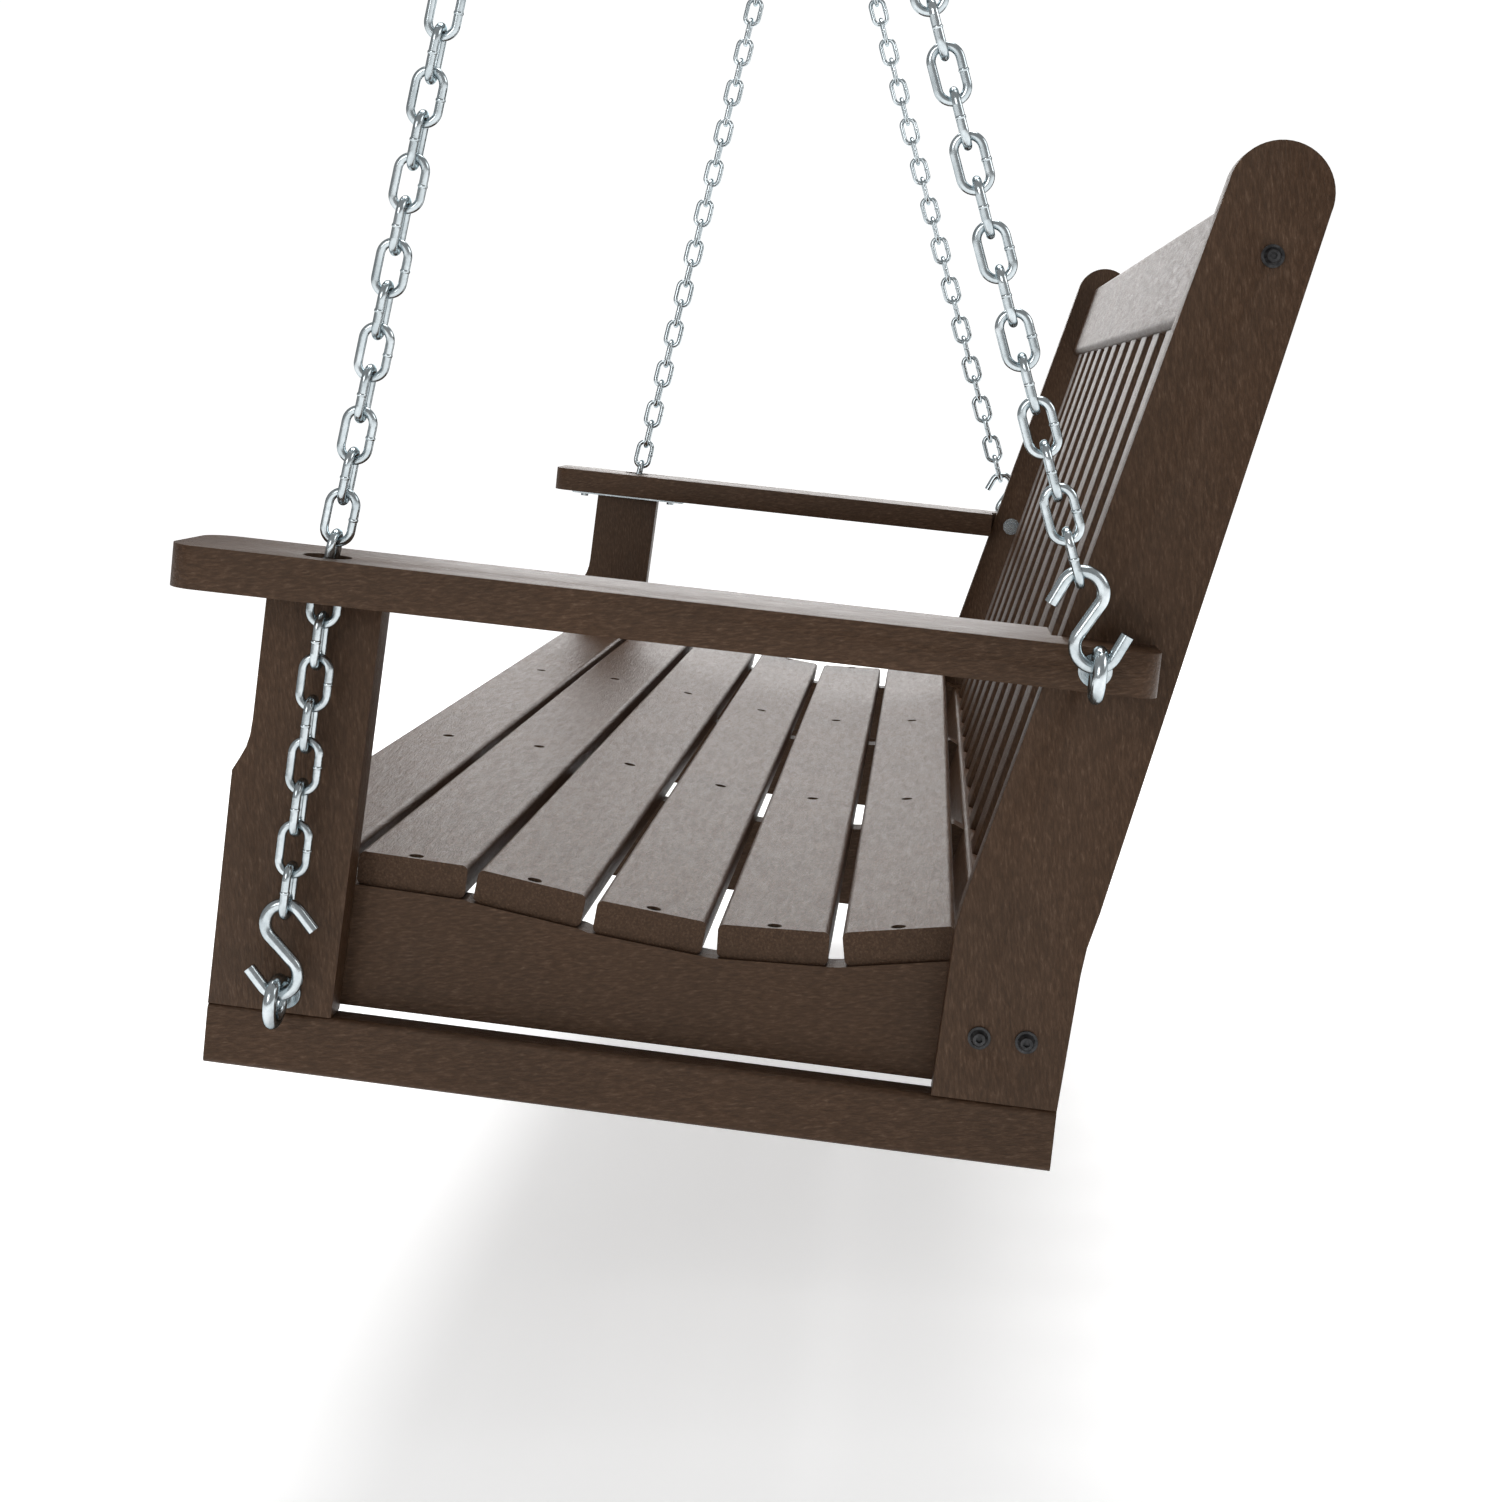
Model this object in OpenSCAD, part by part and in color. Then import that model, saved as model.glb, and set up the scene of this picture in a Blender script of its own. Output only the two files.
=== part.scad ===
// Porch swing seat of recycled-plastic lumber, hung on four chains from two ceiling hooks.
// Millimetres, +Z up. The origin is midway between the hooks, on the underside of the beam.
// +Y is the back of the seat and +X the side on the sitter's left hand.
// The frame is drawn level and square, and hung() leans it back on its chains.

/* [Seat] */
// Distance between the centre lines of the two outer seat supports
support_span = 1176; // [1000:1:1500]
// Width of one seat slat
slat_w = 63.5; // [50:0.5:66]
// Thickness of the lumber in slats, posts and supports
lumber = 19; // [16:0.5:22]
// Distance from one seat slat to the next
slat_pitch = 69.85; // [68:0.05:72]
// Rounding of the lumber's long edges
edge_r = 3.5; // [2:0.5:5]
// Height of the front of the seat above the foot of the frame
seat_h = 127; // [120:1:140]

/* [Frame] */
// Length of a bottom rail, front to back
rail_len = 483; // [470:1:500]
// Height of a bottom rail
rail_h = 35; // [30:1:40]
// Height of the underside of the armrests
arm_z = 274; // [260:1:290]
// Thickness of an armrest
arm_t = 24; // [22:1:27]
// How far the armrests stand out past the posts
arm_out = 38.5; // [36:0.5:45]
// How far the armrests reach in past the posts
arm_in = 21.5; // [10:0.5:30]

/* [Back] */
// Lean of the back from upright, in the level frame
rake = 13.1; // [10:0.1:16]
// Number of back slats
back_slats = 13; // [9:2:13]
// Width of one back slat
back_slat_w = 44; // [40:1:48]
// Thickness of the two back rails
back_rail_t = 38; // [34:1:42]
// Height of the top back rail
top_rail_h = 77; // [70:1:82]

/* [Hanging] */
// How far the hung frame leans back
recline = 9.6; // [4:0.1:12]
// Distance from the frame's centre to each ceiling hook
hook_x = 700; // [680:1:720]
// Height of the hooks' seats above the foot of the frame
hook_rise = 1112; // [1090:1:1140]
// How far the hooks lie in front of the frame's middle
hook_fore = 84; // [60:1:110]
// Wire of the chain links
chain_d = 4.8; // [4:0.1:5.2]
// Length inside one link, which is also the chain's pitch
chain_pitch = 23.8; // [23:0.1:26]
// Width inside one link
chain_gap = 10.4; // [9.6:0.1:11]

/* [Hidden] */
$fn = 32;
slack = 0.3;          // gap kept between a wire and the wire that it hangs on
fit = 0.1;            // gap round screws, bolts and tenons
sides = [1, -1];      // left, right
brown = "#4b382f";
zinc = "#b9bfc2";
black = "#1b1b1c";

// Planes across the width: support, post and armrest faces
sup_in = support_span / 2 - lumber / 2;
sup_out = support_span / 2 + lumber / 2;
post_out = sup_out + lumber;
arm_far = post_out + arm_out;
arm_near = sup_out - arm_in;
slat_len = 2 * sup_out - 6;
rows = [support_span / 2, support_span / 6, -support_span / 6, -support_span / 2];

// Frame stations along the depth
rail_y0 = -245.5;
hole_x = post_out + 13.5;
hole_y = -196;
hole_r = 13.5;
arm_y0 = -280;
arm_y1 = 262;
arm_mid = arm_z + arm_t / 2;
notch_y = 204.5;
support_z = rail_h + 3;

// Back plane: foot of the front faces of the back rails, and the rails along the slope
back_y = 184;
back_z = 105;
low_rail_h = 68;
top_rail_z = 386;
slat_set = 5;
back_slat_t = 16;
tenon = 12;
back_pitch = 2 * (sup_in - 50.5) / (back_slats - 1);

// Fasteners
screw_r = 2;
screw_head_r = 4.2;
screw_sunk = 1.5;
bolt_r = 3;
insert_r = 4.6;       // threaded inserts that the lower bolts turn into
insert_len = 13;
bolt_seats = [[190.4, 70.8], [216.5, 71.7]];
wire = 7.5;           // eyebolt wire
eye_r = 11.75;        // centre line of an eye
front_eye = [-201, 47];
rear_eye = [227, arm_mid];
washer_r = 9;
washer_t = 2;
nut_t = 6;
s_wire = 7;
s_r = 11;             // bends of an S-hook, to the centre line
s_c = 14.5;           // distance of its bend centres from its middle
s_reach = s_c + s_r - s_wire / 2;
hook_wire = 8;
hook_bend = 10;       // lower bends of a ceiling hook, to the wire's centre line
hook_flat = 9.5;      // half the straight seat between them
hook_drop = 44;       // depth of the hooks' seats below the beam
hook_screw = 50;

// ---------- helpers ----------

// Turns the level frame into the hung one, so that the hooks' seats lie on the hinge line
module hung() {
  translate([0, 0, -hook_drop]) rotate([-recline, 0, 0]) translate([0, hook_fore, -hook_rise])
    children();
}

// Children are drawn for the left side, and mirrored for the right one
module on_side(s) {
  if (s > 0) children();
  else mirror([1, 0, 0]) children();
}

module rounded(w, h, r = edge_r) {
  square([w - 2 * r, h], center = true);
  square([w, h - 2 * r], center = true);
  for (x = [-1, 1], y = [-1, 1]) translate([x * (w / 2 - r), y * (h / 2 - r)]) circle(r);
}

// A board along X with rounded long edges, centred
module board_x(len, w, h, r = edge_r) {
  rotate([90, 0, 90]) linear_extrude(len, center = true) rounded(w, h, r);
}

// An outline in the (y, z) plane, as a plate from x0 to x1
module plate_x(x0, x1) {
  translate([x0, 0, 0]) rotate([90, 0, 90]) linear_extrude(x1 - x0) children();
}

module rod_x(x0, x1, r) {
  translate([x0, 0, 0]) rotate([0, 90, 0]) cylinder(h = x1 - x0, r = r);
}

// ---------- seat profile ----------

dip = 15.5;           // depth of the seat's hollow
dip_y0 = -150;        // where it starts
dip_y = 45;           // where it is deepest
rear_curve = 513;     // radius of the rise behind it
function seat_z(y) =
  y < dip_y0 ? seat_h :
  y < dip_y ? seat_h - dip / 2 * (1 - cos(180 * (y - dip_y0) / (dip_y - dip_y0))) :
  seat_h - dip + pow(y - dip_y, 2) / (2 * rear_curve);
function slat_y(i) = (i - 4) * slat_pitch;
function slat_tilt(i) = atan((seat_z(slat_y(i) + 20) - seat_z(slat_y(i) - 20)) / 40);
// A point under slat i, across by u from its centre and down by v from its top face
function under(i, u, v) = [
  slat_y(i) + u * cos(slat_tilt(i)) + v * sin(slat_tilt(i)),
  seat_z(slat_y(i)) + u * sin(slat_tilt(i)) - v * cos(slat_tilt(i))];

module at_slat(i) {
  translate([0, slat_y(i), seat_z(slat_y(i))]) rotate([slat_tilt(i), 0, 0]) children();
}

module seat_slat(i) {
  color(brown) hung() at_slat(i) difference() {
    translate([0, 0, -lumber / 2]) board_x(slat_len, slat_w, lumber);
    for (x = rows) translate([x, 0, 0]) {
      translate([0, 0, -lumber - 1]) cylinder(h = lumber + 2, r = screw_r + fit);
      translate([0, 0, -screw_sunk - 3 - fit]) cylinder(h = 6, r = screw_head_r + fit);
    }
  }
}

module seat_screws() {
  color(zinc) hung() for (i = [1 : 6]) at_slat(i) for (x = rows) translate([x, 0, 0]) {
    translate([0, 0, -lumber - 20]) cylinder(h = lumber + 20 - screw_sunk - 1, r = screw_r);
    difference() {
      translate([0, 0, -screw_sunk - 3]) cylinder(h = 3, r = screw_head_r);
      translate([0, 0, -screw_sunk - 1.5]) cube([2.2, 2.2, 4], center = true);
    }
  }
}

// Top edge of a support: one flat under each slat
function support_top() = [for (i = [1 : 6], u = [-1, 1])
  under(i, u * (slat_pitch / 2 - 1.5), lumber + 0.1)];

module support_holes(x) {
  for (i = [1 : 6]) at_slat(i) translate([x, 0, -lumber - 21])
    cylinder(h = 30, r = screw_r + fit);
}

module seat_support(s) {
  color(brown) hung() on_side(s) difference() {
    plate_x(sup_in, sup_out) polygon(concat([[-238, support_z]], support_top(),
      [[182, 105], [222, 105], [229, 96], [229, support_z]]));
    support_holes(support_span / 2);
    for (p = bolt_seats) translate([0, p[0], p[1]]) {
      rod_x(sup_in - 1, sup_out + 1, bolt_r + fit);
      rod_x(sup_in - 1, sup_in + insert_len + 0.2, insert_r + fit);
    }
    translate([0, front_eye[0], front_eye[1]]) rod_x(sup_in - 1, sup_out + 1, wire / 2 + fit);
    end_screw_holes();
  }
}

module centre_support(s) {
  color(brown) hung() on_side(s) difference() {
    plate_x(support_span / 6 - lumber / 2, support_span / 6 + lumber / 2)
      polygon(concat([[-216.8, support_z], [-216.8, 106]],
        [for (k = [1 : 11]) support_top()[k]],
        [[back_y - 2.2, back_z], [back_y - 0.3, back_z - 1], [back_y - 15.9, support_z]]));
    support_holes(support_span / 6);
    centre_screw_holes();
  }
}

// ---------- frame ----------

module bottom_rail(s) {
  color(brown) hung() on_side(s) difference() {
    translate([(sup_out + post_out) / 2, rail_y0 + rail_len / 2, rail_h / 2])
      rotate([0, 0, 90]) board_x(rail_len, lumber, rail_h);
    foot_screw_holes();
  }
}

// Front edge steps forward below the armrest
module front_post_outline() {
  step_z = 170;
  polygon([[-245.5, rail_h], [-243.5, step_z], [-239.6, step_z + 7.5], [-236.6, step_z + 14],
    [-234.9, step_z + 21], [-234.2, step_z + 30], [-232.5, arm_z - 3], [-166, arm_z - 3],
    [-170, 150], [-174, rail_h]]);
}

module front_post(s) {
  color(brown) hung() on_side(s) difference() {
    plate_x(sup_out, post_out) front_post_outline();
    translate([0, front_eye[0], front_eye[1]]) rod_x(sup_out - 1, post_out + 1, wire / 2 + fit);
    foot_screw_holes();
    plate_screw_holes();
  }
}

top_c = [299.5, 548];
top_r = 28.5;
top_lean = [13.5, 11.3];
module rear_post_outline() {
  r = top_r - 0.1;
  polygon([[167.5, rail_h], [170.3, 118], [170.8, 130], [173.8, 147],
    top_c + r * [-cos(top_lean[0]), sin(top_lean[0])],
    top_c + r * [cos(top_lean[1]), -sin(top_lean[1])],
    [248.4, 148], [243.6, 128], [241.8, 112], [237.5, rail_h]]);
}

module rear_post(s) {
  color(brown) hung() on_side(s) difference() {
    union() {
      plate_x(sup_out, post_out) rear_post_outline();
      translate([0, top_c[0], top_c[1]]) rod_x(sup_out, post_out, top_r);
    }
    for (p = bolt_seats) translate([0, p[0], p[1]]) rod_x(sup_out - 1, post_out + 1, bolt_r + fit);
    at_top_bolt() rod_x(sup_out - 1, post_out + 1, bolt_r + fit);
    translate([0, rear_eye[0], rear_eye[1]]) rod_x(sup_out - 1, post_out + 1, wire / 2 + fit);
    foot_screw_holes();
  }
}

arm_corner = 17;
arm_tail = 12;
module arm_outline() {
  difference() {
    union() {
      translate([arm_near, arm_y0 + arm_corner]) square([arm_far - arm_near, notch_y - arm_y0 - arm_corner]);
      translate([arm_near + arm_corner, arm_y0])
        square([arm_far - arm_near - 2 * arm_corner, arm_corner + 1]);
      for (x = [arm_near + arm_corner, arm_far - arm_corner])
        translate([x, arm_y0 + arm_corner]) circle(arm_corner, $fn = 48);
      translate([post_out + 0.3, notch_y - 1])
        square([arm_far - post_out - 0.3, arm_y1 - arm_tail - notch_y + 1]);
      translate([post_out + 0.3, arm_y1 - arm_tail - 1])
        square([arm_far - post_out - 0.3 - arm_tail, arm_tail + 1]);
      translate([arm_far - arm_tail, arm_y1 - arm_tail]) circle(arm_tail, $fn = 48);
    }
    translate([hole_x, hole_y]) circle(hole_r, $fn = 48);
  }
}

module armrest(s) {
  color(brown) hung() on_side(s) difference() {
    translate([0, 0, arm_z]) linear_extrude(arm_t) arm_outline();
    translate([0, rear_eye[0], rear_eye[1]]) rod_x(post_out - 1, arm_far + 1, wire / 2 + fit);
    plate_screw_holes();
  }
}

// Steel plate between a front post and its armrest, with a tab before and behind the post
plate_y = [-262, -138];
plate_t = 3;
module arm_plate(s) {
  color(zinc) hung() on_side(s) difference() {
    translate([sup_out + 1.5, plate_y[0], arm_z - plate_t + 0.05])
      cube([lumber - 3, plate_y[1] - plate_y[0], plate_t - 0.1]);
    plate_screw_holes(0.2);
  }
}

// Two screws rise into the armrest, beside the post, and two go down into the post
module at_plate_screws(up) {
  for (y = up ? [-249, -152] : [-218, -184])
    translate([(sup_out + post_out) / 2, y, arm_z]) children();
}

module plate_screw_holes(extra = fit) {
  at_plate_screws(true) translate([0, 0, -8]) cylinder(h = 26, r = screw_r + extra);
  at_plate_screws(false) translate([0, 0, -34]) cylinder(h = 36, r = screw_r + extra);
}

module arm_plate_screws() {
  color(zinc) hung() for (s = sides) on_side(s) {
    at_plate_screws(true) {
      translate([0, 0, -4]) cylinder(h = 20, r = screw_r);
      translate([0, 0, -plate_t - 2.6]) cylinder(h = 2.6, r = screw_head_r);
    }
    at_plate_screws(false) translate([0, 0, -33]) cylinder(h = 32.9, r = screw_r);
  }
}

// Board under the front slat, between the outer supports
module front_rail() {
  color(brown) hung() difference() {
    translate([0, -226.5, support_z + 32]) board_x(2 * sup_in - 0.4, lumber, 64, 2);
    end_screw_holes();
    mirror([1, 0, 0]) end_screw_holes();
    for (s = sides) on_side(s) centre_screw_holes();
  }
}

// ---------- frame screws, all of one size ----------

screw_len = 45;
// Places as [x, y, z, turn about X, turn about Y]: the screw points along its local +Z
foot_screws = [for (y = [-228, -192, 184, 222]) [(sup_out + post_out) / 2, y, 0, 0, 0]];
end_screws = [for (p = [[-226.5, 52], [-226.5, 86], [192, 88], [186, 52]]) [sup_out, p[0], p[1], 0, -90]];
centre_screws = concat(
  [for (z = [56, 86]) [support_span / 6, -236, z, -90, 0]],
  [for (z = [52, 76]) [support_span / 6, back_y + 30 + (z - back_z) * tan(rake), z, 90, 0]]);

module at_screw(p) {
  translate([p[0], p[1], p[2]]) rotate([p[3], p[4], 0]) children();
}

module screw_hole(p) {
  at_screw(p) {
    translate([0, 0, -0.5]) cylinder(h = screw_len + 1, r = screw_r + fit);
    translate([0, 0, -12]) cylinder(h = 15 + fit, r = screw_head_r + fit);
  }
}

module foot_screw_holes() { for (p = foot_screws) screw_hole(p); }
module end_screw_holes() { for (p = end_screws) screw_hole(p); }
module centre_screw_holes() { for (p = centre_screws) screw_hole(p); }

module frame_screws() {
  color(zinc) hung() for (s = sides) on_side(s)
    for (p = concat(foot_screws, end_screws, centre_screws)) at_screw(p) {
      translate([0, 0, 0.2]) cylinder(h = 2.8, r = screw_head_r);
      translate([0, 0, 2]) cylinder(h = screw_len - 2, r = screw_r);
    }
}

// ---------- back ----------

module back_plane() {
  translate([0, back_y, back_z]) rotate([-rake, 0, 0]) children();
}

module at_top_bolt() {
  back_plane() translate([0, back_rail_t / 2, top_rail_z + top_rail_h / 2]) children();
}

function back_x(i) = (i - (back_slats + 1) / 2) * back_pitch;

module mortises(z) {
  for (i = [1 : back_slats]) translate([back_x(i), slat_set + back_slat_t / 2, z])
    cube([back_slat_w + 2 * fit, back_slat_t + 2 * fit, 2 * tenon + 1], center = true);
}

module back_lower_rail() {
  color(brown) hung() difference() {
    back_plane() difference() {
      translate([0, back_rail_t / 2, -low_rail_h / 2])
        board_x(2 * sup_in - 0.4, back_rail_t, low_rail_h);
      mortises(0);
    }
    end_screw_holes();
    mirror([1, 0, 0]) end_screw_holes();
    for (s = sides) on_side(s) centre_screw_holes();
  }
}

module back_top_rail() {
  color(brown) hung() back_plane() difference() {
    translate([0, back_rail_t / 2, top_rail_z + top_rail_h / 2])
      board_x(2 * sup_out - 0.4, back_rail_t, top_rail_h, 6);
    mortises(top_rail_z);
    translate([0, back_rail_t / 2, top_rail_z + top_rail_h / 2]) for (s = sides) on_side(s) {
      rod_x(sup_out - 42, sup_out + 1, bolt_r + fit);
      translate([barrel_x, 0, -back_rail_t / 2 - 8]) cylinder(h = top_rail_h, r = barrel_r + fit);
    }
  }
}

module back_slat(i) {
  color(brown) hung() back_plane()
    translate([back_x(i), slat_set + back_slat_t / 2, top_rail_z / 2])
      cube([back_slat_w, back_slat_t, top_rail_z + 2 * tenon], center = true);
}

// ---------- bolts through the rear posts ----------

barrel_x = sup_out - 30;
barrel_r = 5;
module at_post_bolts() {
  for (p = bolt_seats) translate([0, p[0], p[1]]) children();
  at_top_bolt() children();
}

module post_bolts() {
  color(black) hung() for (s = sides) on_side(s) {
    for (p = bolt_seats) translate([0, p[0], p[1]]) rod_x(sup_in + 1, post_out + 2, bolt_r);
    at_top_bolt() rod_x(barrel_x + barrel_r + 0.2, post_out + 2, bolt_r);
    at_post_bolts() difference() {
      translate([post_out + 1.3, 0, 0]) rotate([0, 90, 0]) cylinder(h = 3.2, r1 = 4.9, r2 = 3.4, $fn = 48);
      translate([post_out + 2.4, 0, 0]) rotate([0, 90, 0]) cylinder(h = 4, r = 2, $fn = 6);
    }
  }
}

module post_bolt_washers() {
  color(black) hung() for (s = sides) on_side(s) at_post_bolts() difference() {
    rod_x(post_out + 0.05, post_out + 1.25, 6.3);
    rod_x(post_out - 1, post_out + 3, bolt_r + fit);
  }
}

module threaded_inserts() {
  color(zinc) hung() for (s = sides) on_side(s) for (p = bolt_seats)
    translate([0, p[0], p[1]]) difference() {
      rod_x(sup_in + 0.1, sup_in + insert_len, insert_r);
      rod_x(sup_in - 1, sup_in + insert_len + 1, bolt_r + fit / 2);
    }
}

module barrel_nuts() {
  color(zinc) hung() for (s = sides) on_side(s) at_top_bolt()
    translate([barrel_x, 0, -9]) cylinder(h = 18, r = barrel_r);
}

// ---------- eyebolts ----------

// Ring in the XZ plane with its shank along X, from the timber's outer face x1 to the end x0
module eyebolt(s, seat, x1, x0) {
  color(zinc) hung() on_side(s) translate([0, seat[0], seat[1]]) {
    translate([x1 + washer_t + 2 + eye_r + wire / 2, 0, 0]) rotate([90, 0, 0])
      rotate_extrude($fn = 48) translate([eye_r, 0]) circle(wire / 2, $fn = 24);
    rod_x(x0, x1 + washer_t + 2 + wire, wire / 2);
  }
}

function eye_x(x1) = x1 + washer_t + 2 + eye_r + wire / 2;

// Outer face, inner face and seat of the two eyebolts on a side
eye_places = [[post_out, sup_in, front_eye], [arm_far, sup_out, rear_eye]];

module eyebolt_washers() {
  color(zinc) hung() for (s = sides) on_side(s) for (e = eye_places)
    translate([0, e[2][0], e[2][1]]) for (x = [e[0] + 0.05, e[1] - washer_t - 0.05]) difference() {
      rod_x(x, x + washer_t, washer_r);
      rod_x(x - 1, x + washer_t + 1, wire / 2 + fit);
    }
}

module eyebolt_nuts() {
  color(zinc) hung() for (s = sides) on_side(s) for (e = eye_places)
    translate([e[1] - washer_t - nut_t - 0.1, e[2][0], e[2][1]]) rotate([0, 90, 0]) difference() {
      cylinder(h = nut_t, r = 7.4, $fn = 6);
      translate([0, 0, -1]) cylinder(h = nut_t + 2, r = wire / 2 + fit);
    }
}

// ---------- chains and S-hooks ----------

function unit(v) = v / norm(v);
hook_seat = [hook_x, -hook_fore, hook_rise];
hole_c = [hole_x, hole_y + 1, arm_mid];
eye_top = eye_r - wire / 2;
front_foot = [eye_x(post_out), front_eye[0], front_eye[1] + eye_top];
rear_foot = [eye_x(arm_far), rear_eye[0], rear_eye[1] + eye_top];
s_len = 2 * s_reach - 2 * slack;
seat_side = 6.6;      // each chain's place on the seat, either side of its middle

// Local +Z is turned to the direction u
module aim(u) {
  rotate([-asin(u[1]), atan2(u[0], u[2]), 0]) children();
}

module link() {
  r = (chain_gap + chain_d) / 2;
  h = chain_pitch / 2 + chain_d / 2 - r;
  for (m = [0, 1]) mirror([0, 0, m]) translate([0, 0, h]) rotate([90, 0, 0])
    rotate_extrude(angle = 180) translate([r, 0]) circle(chain_d / 2, $fn = 20);
  for (x = [-r, r]) translate([x, 0, -h]) cylinder(h = 2 * h, r = chain_d / 2, $fn = 20);
}

// Links from p to q, and the first one is numbered k: even ones stand in the XZ plane
module links(p, q, k) {
  n = ceil(norm(q - p) / (chain_pitch - 0.1));
  for (i = [0 : n - 1]) translate(p + (q - p) * (i + 0.5) / n) aim(unit(q - p))
    rotate([0, 0, (i + k) % 2 == 0 ? 0 : 90]) link();
}

function past_hook(p) = hook_seat + unit(hook_seat - p) * (hook_wire / 2 + 0.5);

// The upper end goes to its own place on the hook's seat, at the side x of its middle
module chain_front(s) {
  u = unit(hole_c - front_foot);
  p = front_foot + u * s_len;
  color(zinc) hung() on_side(s) {
    links(p, hole_c, 0);
    links(hole_c, past_hook(hole_c) - [seat_side, 0, 0], 0);
  }
}

module chain_rear(s) {
  u = unit(hook_seat - rear_foot);
  color(zinc) hung() on_side(s) links(rear_foot + u * s_len, past_hook(rear_foot) + [seat_side, 0, 0], 0);
}

// Two bends joined by a slanting shank, with flared tips, in the YZ plane
module s_hook_shape() {
  lean = asin(s_r / s_c);
  half = sqrt(s_c * s_c - s_r * s_r);
  tip = 13;
  rotate([90, 0, 90]) {
    for (a = [0, 180]) rotate([0, 0, a]) translate([0, s_c, 0]) rotate([0, 0, 45]) {
      rotate_extrude(angle = 135 + lean) translate([s_r, 0]) circle(s_wire / 2);
      translate([s_r, 0, 0]) rotate([90, 0, 0]) cylinder(h = tip, r = s_wire / 2 - 0.02);
    }
    rotate([0, 0, lean]) rotate([90, 0, 0])
      cylinder(h = 2 * half + 0.2, r = s_wire / 2 - 0.02, center = true);
  }
}

// flip turns the hook round, so that its upper tip points to the front
module s_hook(s, foot, u, flip) {
  color(zinc) hung() on_side(s) translate(foot + u * (s_reach - slack)) aim(u)
    mirror([0, flip ? 1 : 0, 0]) s_hook_shape();
}

module s_hook_front(s) { s_hook(s, front_foot, unit(hole_c - front_foot), false); }
module s_hook_rear(s) { s_hook(s, rear_foot, unit(hook_seat - rear_foot), true); }

// ---------- ceiling hooks ----------

// Screw hook with a straight seat along X for two chains, open on its outer side
module hook_arc(r, from, turn) {
  rotate([90, 0, 0]) rotate([0, 0, from]) rotate_extrude(angle = turn)
    translate([r, 0]) circle(hook_wire / 2, $fn = 24);
}

module ceiling_hook(s) {
  low = hook_bend - hook_drop;
  crown = hook_bend + hook_flat;
  color(zinc) on_side(s) translate([hook_x, 0, 0]) {
    translate([0, 0, low]) hook_arc(crown, 90, 90);
    translate([-hook_flat, 0, low]) hook_arc(hook_bend, 180, 90);
    translate([hook_flat, 0, low]) hook_arc(hook_bend, 270, 120);
    translate([0, 0, -hook_drop]) rod_x(-hook_flat - 0.1, hook_flat + 0.1, hook_wire / 2 - 0.02);
    translate([0, 0, low + crown]) sphere(hook_wire / 2);
    translate([0, 0, low + crown])
      cylinder(h = hook_screw - low - crown, r = hook_wire / 2);
    translate([0, 0, -2.5]) cylinder(h = 2.5, r = 9);
    translate([0, 0, hook_screw]) cylinder(h = 8, r1 = hook_wire / 2, r2 = 0.8);
  }
}

// ---------- nodes ----------

ceiling_hook(1);  // ceiling_hook_left
ceiling_hook(-1);  // ceiling_hook_right
chain_front(1);  // chain_front_left
chain_front(-1);  // chain_front_right
chain_rear(1);  // chain_rear_left
chain_rear(-1);  // chain_rear_right
s_hook_front(1);  // s_hook_front_left
s_hook_front(-1);  // s_hook_front_right
s_hook_rear(1);  // s_hook_rear_left
s_hook_rear(-1);  // s_hook_rear_right
eyebolt(1, front_eye, post_out, sup_in - 14);  // eyebolt_front_left
eyebolt(-1, front_eye, post_out, sup_in - 14);  // eyebolt_front_right
eyebolt(1, rear_eye, arm_far, sup_out - 14);  // eyebolt_rear_left
eyebolt(-1, rear_eye, arm_far, sup_out - 14);  // eyebolt_rear_right
eyebolt_washers();
eyebolt_nuts();
bottom_rail(1);  // bottom_rail_left
bottom_rail(-1);  // bottom_rail_right
front_post(1);  // front_post_left
front_post(-1);  // front_post_right
rear_post(1);  // rear_post_left
rear_post(-1);  // rear_post_right
armrest(1);  // armrest_left
armrest(-1);  // armrest_right
arm_plate(1);  // arm_plate_left
arm_plate(-1);  // arm_plate_right
arm_plate_screws();
seat_support(1);  // seat_support_left
seat_support(-1);  // seat_support_right
centre_support(1);  // centre_support_left
centre_support(-1);  // centre_support_right
front_rail();
for (i = [1 : 6]) seat_slat(i);
seat_screws();
frame_screws();
back_lower_rail();
back_top_rail();
for (i = [1 : back_slats]) back_slat(i);
post_bolts();
post_bolt_washers();
threaded_inserts();
barrel_nuts();
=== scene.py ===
import bmesh
import bpy
import math
import numpy as np
from mathutils import Euler, Matrix, Vector


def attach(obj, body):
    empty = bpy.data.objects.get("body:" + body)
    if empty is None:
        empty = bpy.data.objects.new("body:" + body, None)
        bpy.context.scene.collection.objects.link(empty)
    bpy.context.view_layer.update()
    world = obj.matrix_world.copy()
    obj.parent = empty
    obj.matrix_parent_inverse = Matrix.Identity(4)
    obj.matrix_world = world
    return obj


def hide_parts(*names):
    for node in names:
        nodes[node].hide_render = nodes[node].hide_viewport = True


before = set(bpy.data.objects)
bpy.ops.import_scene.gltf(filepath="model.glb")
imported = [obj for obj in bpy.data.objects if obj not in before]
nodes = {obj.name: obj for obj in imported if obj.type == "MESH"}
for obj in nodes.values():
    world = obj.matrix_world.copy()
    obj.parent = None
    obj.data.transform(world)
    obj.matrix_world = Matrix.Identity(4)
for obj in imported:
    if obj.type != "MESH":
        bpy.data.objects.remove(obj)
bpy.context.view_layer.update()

# Lean of the hanging frame, and lean of the seat's back within it.
LEAN = math.radians(9.6)
RAKE = math.radians(13.1)

# Radii of the eased edges, in metres.
ARM_EASE = 0.0055
BOARD_EASE = 0.003

# Height of the floor, and how far it reaches from the middle, in metres.
FLOOR_Z = -1.36
FLOOR_REACH = 40.0


# ---------------------------------------------------------------- materials

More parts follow.
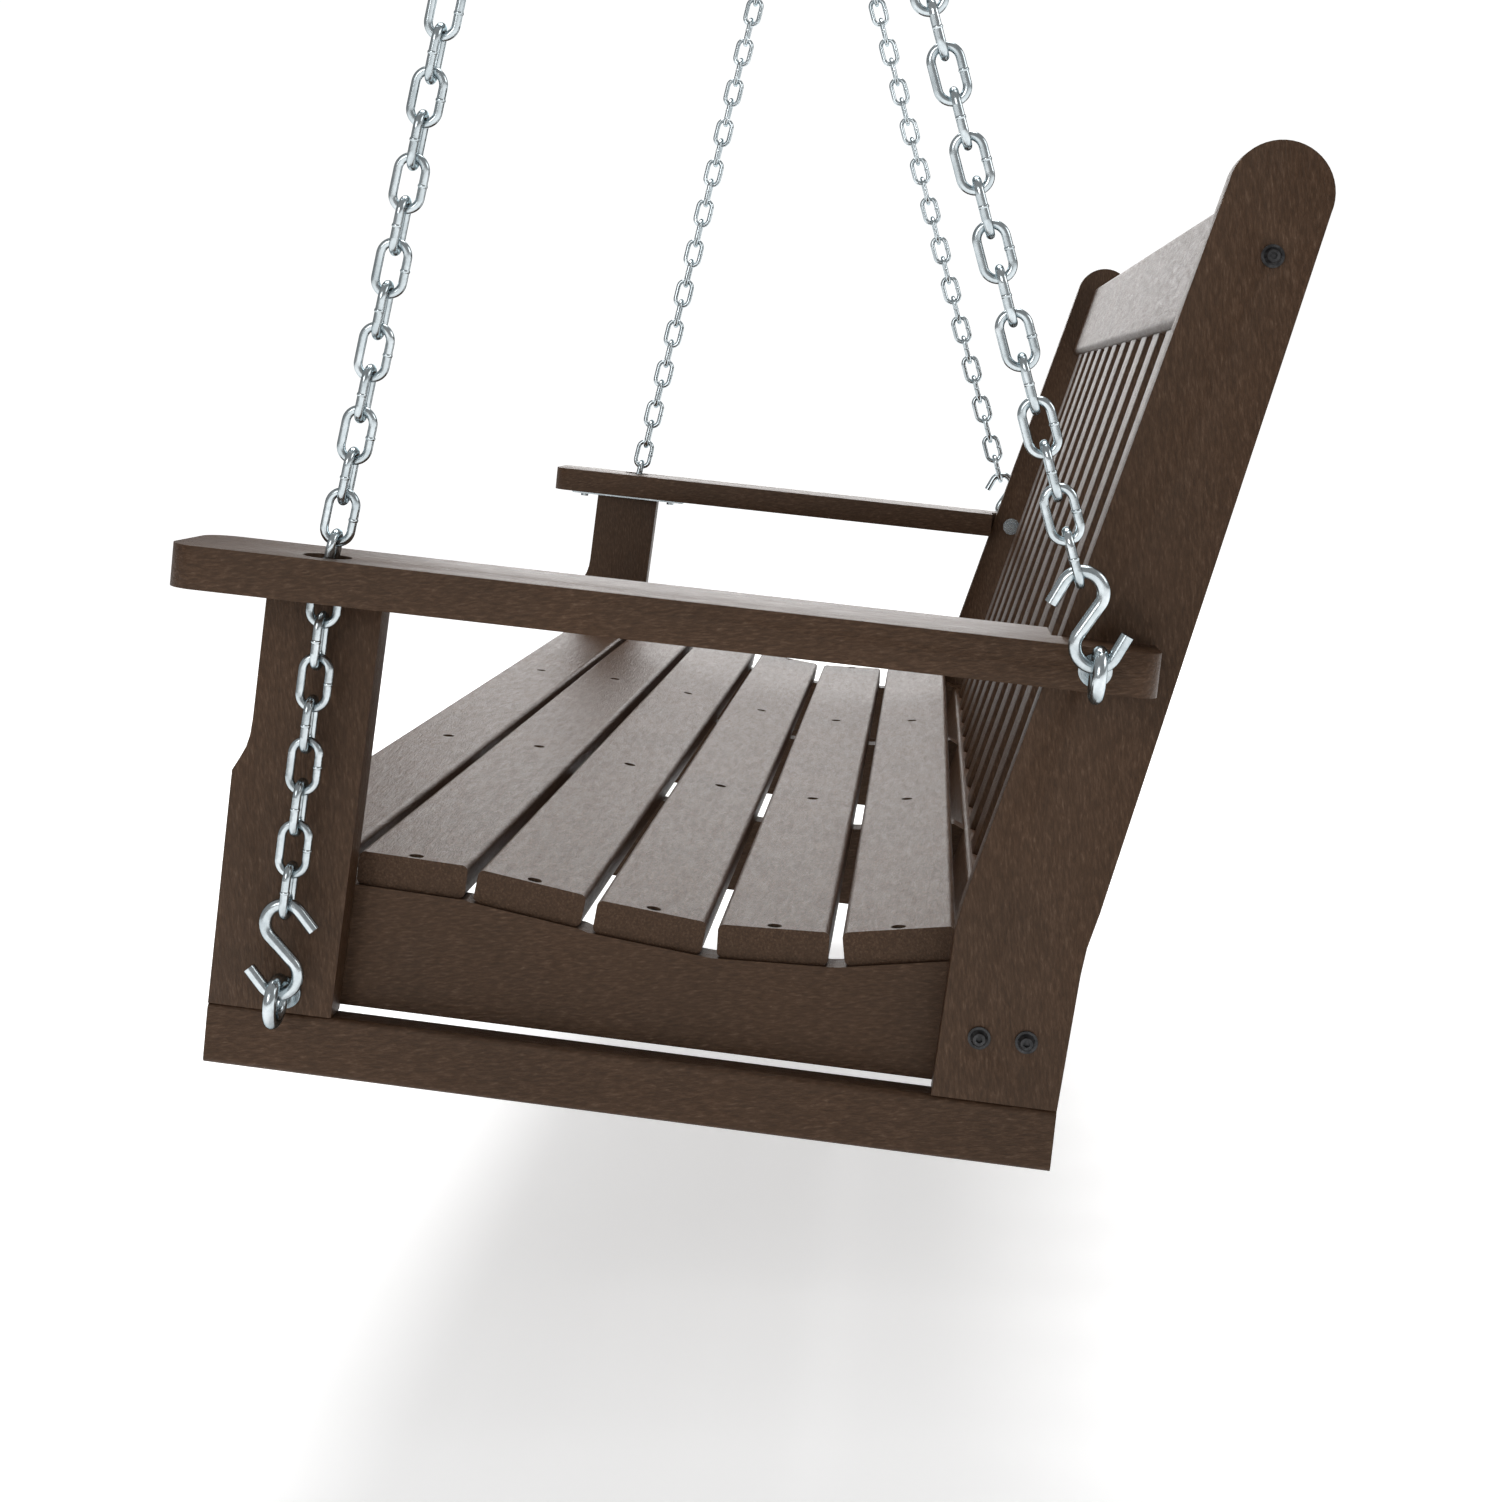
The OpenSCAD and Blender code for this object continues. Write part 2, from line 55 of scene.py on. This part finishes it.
def new_material(name):
    mat = bpy.data.materials.new(name)
    mat.use_nodes = True
    tree = mat.node_tree
    return mat, tree, tree.nodes["Principled BSDF"]


def add(tree, kind, **values):
    """Adds a node to the tree, and sets each socket or setting that is named."""
    n = tree.nodes.new(kind)
    for key, value in values.items():
        if key in n.inputs:
            n.inputs[key].default_value = value
        else:
            setattr(n, key, value)
    return n


def ramp(tree, source, stops):
    """Colour ramp read from source, with (position, colour) stops."""
    n = tree.nodes.new("ShaderNodeValToRGB")
    n.color_ramp.elements[0].position, n.color_ramp.elements[0].color = stops[0]
    n.color_ramp.elements[1].position, n.color_ramp.elements[1].color = stops[-1]
    for pos, col in stops[1:-1]:
        n.color_ramp.elements.new(pos).color = col
    tree.links.new(source, n.inputs["Fac"])
    return n


def multiplied(tree, colour, shade):
    """The colour output of one ramp times that of another."""
    n = add(tree, "ShaderNodeMix", data_type="RGBA", blend_type="MULTIPLY")
    factor, first, second, result = n.inputs[0], n.inputs[6], n.inputs[7], n.outputs[2]
    factor.default_value = 1.0
    tree.links.new(colour.outputs["Color"], first)
    tree.links.new(shade.outputs["Color"], second)
    return result


def plastic_lumber(name, turn, stretch):
    """Mahogany plastic board: short brushed flecks, a leathery skin and soft clouding.

    The flecks are drawn out along the axis whose stretch is below 1. The turn comes after that,
    so it shifts the pattern and leaves the flecks on the axis, where they don't lean with a board.
    """
    mat, tree, bsdf = new_material(name)
    link = tree.links.new
    place = add(tree, "ShaderNodeTexCoord")
    run = add(tree, "ShaderNodeMapping", Rotation=turn, Scale=stretch)
    link(place.outputs["Object"], run.inputs["Vector"])
    fleck = add(tree, "ShaderNodeTexNoise", Scale=760.0, Detail=5.0, Roughness=0.62, Distortion=0.3)
    skin = add(tree, "ShaderNodeTexNoise", Scale=230.0, Detail=4.0, Roughness=0.6, Distortion=0.6)
    cloud = add(tree, "ShaderNodeTexNoise", Scale=14.0, Detail=4.0, Roughness=0.55)
    link(run.outputs["Vector"], fleck.inputs["Vector"])
    link(run.outputs["Vector"], skin.inputs["Vector"])
    link(place.outputs["Object"], cloud.inputs["Vector"])
    tone = ramp(tree, fleck.outputs["Fac"], [
        (0.30, (0.027, 0.0125, 0.0055, 1)), (0.50, (0.042, 0.0205, 0.0100, 1)),
        (0.62, (0.060, 0.0320, 0.0180, 1)), (0.76, (0.100, 0.064, 0.042, 1))])
    shade = ramp(tree, cloud.outputs["Fac"], [(0.25, (0.84, 0.83, 0.82, 1)), (0.75, (1.12, 1.10, 1.08, 1))])
    link(multiplied(tree, tone, shade), bsdf.inputs["Base Color"])
    rough = ramp(tree, skin.outputs["Fac"], [(0.3, (0.38, 0.38, 0.38, 1)), (0.7, (0.48, 0.48, 0.48, 1))])
    link(rough.outputs["Color"], bsdf.inputs["Roughness"])
    bsdf.inputs["Specular IOR Level"].default_value = 0.26
    bsdf.inputs["Specular Tint"].default_value = (1.0, 0.89, 0.78, 1)
    high = add(tree, "ShaderNodeMath", operation="ADD")
    link(skin.outputs["Fac"], high.inputs[0])
    link(fleck.outputs["Fac"], high.inputs[1])
    bump = add(tree, "ShaderNodeBump", Strength=0.55, Distance=0.0009)
    link(high.outputs[0], bump.inputs["Height"])
    link(bump.outputs["Normal"], bsdf.inputs["Normal"])
    return mat


def galvanised():
    """Hot-dipped zinc: pale metal with soft spangle, dull patches and small runs."""
    mat, tree, bsdf = new_material("galvanised_zinc")
    link = tree.links.new
    place = add(tree, "ShaderNodeTexCoord")
    spangle = add(tree, "ShaderNodeTexVoronoi", Scale=420.0)
    patch = add(tree, "ShaderNodeTexNoise", Scale=60.0, Detail=5.0, Roughness=0.6)
    pit = add(tree, "ShaderNodeTexNoise", Scale=700.0, Detail=4.0, Roughness=0.6)
    for n in (spangle, patch, pit):
        link(place.outputs["Object"], n.inputs["Vector"])
    tone = ramp(tree, patch.outputs["Fac"], [
        (0.3, (0.42, 0.47, 0.49, 1)), (0.55, (0.54, 0.59, 0.61, 1)), (0.75, (0.66, 0.70, 0.72, 1))])
    flake = ramp(tree, spangle.outputs["Distance"], [
        (0.0, (1.05, 1.05, 1.05, 1)), (1.0, (0.90, 0.91, 0.92, 1))])
    link(multiplied(tree, tone, flake), bsdf.inputs["Base Color"])
    bsdf.inputs["Metallic"].default_value = 1.0
    bsdf.inputs["Specular Tint"].default_value = (0.30, 0.36, 0.38, 1)
    rough = ramp(tree, patch.outputs["Fac"], [
        (0.3, (0.26, 0.26, 0.26, 1)), (0.7, (0.15, 0.15, 0.15, 1))])
    link(rough.outputs["Color"], bsdf.inputs["Roughness"])
    bump = add(tree, "ShaderNodeBump", Strength=0.15, Distance=0.0002)
    link(pit.outputs["Fac"], bump.inputs["Height"])
    link(bump.outputs["Normal"], bsdf.inputs["Normal"])
    return mat


def black_coat():
    """Black oxide coat on bolts, rubbed a little paler in places."""
    mat, tree, bsdf = new_material("black_coated_steel")
    link = tree.links.new
    place = add(tree, "ShaderNodeTexCoord")
    wear = add(tree, "ShaderNodeTexNoise", Scale=300.0, Detail=5.0, Roughness=0.65)
    link(place.outputs["Object"], wear.inputs["Vector"])
    tone = ramp(tree, wear.outputs["Fac"], [
        (0.4, (0.012, 0.012, 0.013, 1)), (0.75, (0.06, 0.06, 0.062, 1))])
    link(tone.outputs["Color"], bsdf.inputs["Base Color"])
    bsdf.inputs["Metallic"].default_value = 0.5
    rough = ramp(tree, wear.outputs["Fac"], [(0.3, (0.34, 0.34, 0.34, 1)), (0.7, (0.5, 0.5, 0.5, 1))])
    link(rough.outputs["Color"], bsdf.inputs["Roughness"])
    return mat


# The flecks run along X on seat slats and cross rails, along Y on arms, supports and bottom rails,
# and along Z on posts and back slats: each is the model's axis nearest to the board's length.
ALONG_X = plastic_lumber("lumber_grain_across", (0, 0, 0), (0.22, 1, 1))
ALONG_Y = plastic_lumber("lumber_grain_deep", (LEAN, 0, 0), (1, 0.22, 1))
UPRIGHT = plastic_lumber("lumber_grain_upright", (LEAN, 0, 0), (1, 1, 0.22))
BACK = plastic_lumber("lumber_grain_back", (LEAN + RAKE, 0, 0), (1, 1, 0.22))
ZINC = galvanised()
BLACK = black_coat()


def finish_of(name):
    """The material of a CAD node, by its name."""
    if name.startswith("post_bolt"):
        return BLACK
    if name.startswith("front_post"):
        return UPRIGHT
    if name.startswith(("rear_post", "back_slat")):
        return BACK
    if name.startswith(("armrest", "bottom_rail", "seat_support", "centre_support")):
        return ALONG_Y
    if name.startswith(("seat_slat", "front_rail", "back_")):
        return ALONG_X
    return ZINC


# ---------------------------------------------------------------- boards with eased edges

def eased_copy(name, radius, steps=3):
    """A board's own shape with its sharp edges rounded over, standing for the plain one."""
    source = nodes[name]
    mesh = source.data.copy()
    bm = bmesh.new()
    bm.from_mesh(mesh)
    bmesh.ops.remove_doubles(bm, verts=bm.verts, dist=1e-6)
    bmesh.ops.dissolve_limit(bm, angle_limit=math.radians(1.0), verts=bm.verts, edges=bm.edges)
    bm.to_mesh(mesh)
    bm.free()
    mesh.materials.clear()
    mesh.materials.append(finish_of(name))
    board = bpy.data.objects.new(name + "_eased", mesh)
    bpy.context.scene.collection.objects.link(board)
    bevel = board.modifiers.new("eased", "BEVEL")
    bevel.width = radius
    bevel.segments = steps
    bevel.limit_method = "ANGLE"
    bevel.angle_limit = math.radians(40)
    bevel.harden_normals = True
    bevel.use_clamp_overlap = True
    for face in mesh.polygons:
        face.use_smooth = True
    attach(board, "swing_seat")
    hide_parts(name)
    return board


for name, node in nodes.items():
    node.data.materials.clear()
    node.data.materials.append(finish_of(name))

for side in ("left", "right"):
    eased_copy("armrest_" + side, ARM_EASE)
    eased_copy("front_post_" + side, BOARD_EASE)
    eased_copy("rear_post_" + side, BOARD_EASE)
back_slats = sum(name.startswith("back_slat_") for name in nodes)
for number in range(1, back_slats + 1):
    eased_copy("back_slat_" + str(number), BOARD_EASE)


# ---------------------------------------------------------------- weld beads on the chain links

LEG_OFF = 0.0076                     # from a link's middle to the wire of one side
WELD = (0.0019, 0.00285, 0.00285)    # half length of a bead, and its radius both ways
WELD_SIDE = Vector((1.0, 0.4, 0.2))  # the bead is on the wire that lies further this way


def islands(bm):
    """Lists of the vertices of each separate solid."""
    left, found = set(bm.verts), []
    for start in bm.verts:
        if start not in left:
            continue
        left.discard(start)
        group, edge = [start], [start]
        while edge:
            for e in edge.pop().link_edges:
                for v in e.verts:
                    if v in left:
                        left.discard(v)
                        group.append(v)
                        edge.append(v)
        found.append(group)
    return found


def weld_beads(chain):
    """A bead round the middle of one side of every link, lying along the link's own length.

    A link's spread is largest along its length, and next largest from wire to wire.
    """
    source = bmesh.new()
    source.from_mesh(nodes[chain].data)
    bmesh.ops.remove_doubles(source, verts=source.verts, dist=1e-6)
    beads = bmesh.new()
    for group in islands(source):
        points = np.array([v.co for v in group])
        centre = (points.max(0) + points.min(0)) / 2
        axes = np.linalg.svd(points - centre, full_matrices=False)[2]
        long, wide = Vector(axes[0]), Vector(axes[1])
        if wide.dot(WELD_SIDE) < 0:
            wide = -wide
        turn = Matrix((long, wide, long.cross(wide))).transposed().to_4x4()
        place = Matrix.Translation(Vector(centre) + LEG_OFF * wide) @ turn @ Matrix.Diagonal((*WELD, 1))
        bmesh.ops.create_uvsphere(beads, u_segments=14, v_segments=8, radius=1.0, matrix=place)
    source.free()
    bmesh.ops.recalc_face_normals(beads, faces=beads.faces)
    for face in beads.faces:
        face.smooth = True
    mesh = bpy.data.meshes.new(chain + "_welds")
    beads.to_mesh(mesh)
    beads.free()
    mesh.materials.append(ZINC)
    piece = bpy.data.objects.new(chain + "_welds", mesh)
    bpy.context.scene.collection.objects.link(piece)
    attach(piece, "swing_seat")


for end in ("front", "rear"):
    for side in ("left", "right"):
        weld_beads("chain_" + end + "_" + side)


# ---------------------------------------------------------------- room, light and camera

def sheet_floor():
    """A pale floor that glows more away from the middle, so that it passes into the white backdrop."""
    bm = bmesh.new()
    bmesh.ops.create_grid(bm, x_segments=1, y_segments=1, size=FLOOR_REACH)
    for v in bm.verts:
        v.co.z = FLOOR_Z
    mesh = bpy.data.meshes.new("floor")
    bm.to_mesh(mesh)
    bm.free()
    floor = bpy.data.objects.new("floor", mesh)
    bpy.context.scene.collection.objects.link(floor)
    mat, tree, bsdf = new_material("pale_floor")
    bsdf.inputs["Base Color"].default_value = (0.93, 0.93, 0.93, 1)
    bsdf.inputs["Roughness"].default_value = 0.9
    bsdf.inputs["Specular IOR Level"].default_value = 0.1
    bsdf.inputs["Emission Color"].default_value = (1, 1, 1, 1)
    place = add(tree, "ShaderNodeTexCoord")
    reach = add(tree, "ShaderNodeVectorMath", operation="LENGTH")
    glow = add(tree, "ShaderNodeMapRange")
    for key, value in (("From Min", 1.9), ("From Max", 4.5), ("To Min", 0.40), ("To Max", 0.8)):
        glow.inputs[key].default_value = value
    tree.links.new(place.outputs["Object"], reach.inputs[0])
    tree.links.new(reach.outputs["Value"], glow.inputs["Value"])
    tree.links.new(glow.outputs["Result"], bsdf.inputs["Emission Strength"])
    mesh.materials.append(mat)


def lamp(name, spot, aim, size, watts):
    """A soft rectangular lamp at spot, turned towards aim."""
    light = bpy.data.lights.new(name, "AREA")
    light.shape = "RECTANGLE"
    light.size, light.size_y = size
    light.energy = watts
    body = bpy.data.objects.new(name, light)
    bpy.context.scene.collection.objects.link(body)
    body.location = spot
    body.rotation_euler = (Vector(aim) - Vector(spot)).to_track_quat("-Z", "Y").to_euler()


sheet_floor()
middle = (0, 0, -0.9)
lamp("overhead", (-0.7, 0.1, 2.2), middle, (2.6, 2.2), 118)
lamp("far_window", (-3.6, 0.0, 0.1), middle, (2.2, 1.6), 36)
lamp("near_fill", (3.4, -1.2, 0.5), middle, (1.6, 1.4), 30)
lamp("behind", (0.6, 3.2, 0.6), middle, (2.0, 1.4), 22)

# The backdrop is white where it is seen, and dimmer as a light.
world = bpy.data.worlds.new("studio")
bpy.context.scene.world = world
world.use_nodes = True
backdrop = world.node_tree
ray = add(backdrop, "ShaderNodeLightPath")
level = add(backdrop, "ShaderNodeMapRange")
level.inputs["To Min"].default_value = 0.34
level.inputs["To Max"].default_value = 1.05
backdrop.links.new(ray.outputs["Is Camera Ray"], level.inputs["Value"])
backdrop.links.new(level.outputs["Result"], backdrop.nodes["Background"].inputs["Strength"])
backdrop.nodes["Background"].inputs["Color"].default_value = (1, 1, 1, 1)
bpy.context.scene.view_settings.view_transform = "Standard"

# The eye is off one end of the seat and looks along it.
eye = bpy.data.cameras.new("eye")
eye.lens = 52.22
eye.sensor_width = 36
eye.shift_x = -0.006
eye.shift_y = -0.1485
camera = bpy.data.objects.new("eye", eye)
bpy.context.scene.collection.objects.link(camera)
camera.location = (1.8095, 0.0926, -0.7594)
camera.rotation_euler = Euler([math.radians(a) for a in (86.763, 3.591, 94.561)])
bpy.context.scene.camera = camera

bpy.context.view_layer.update()
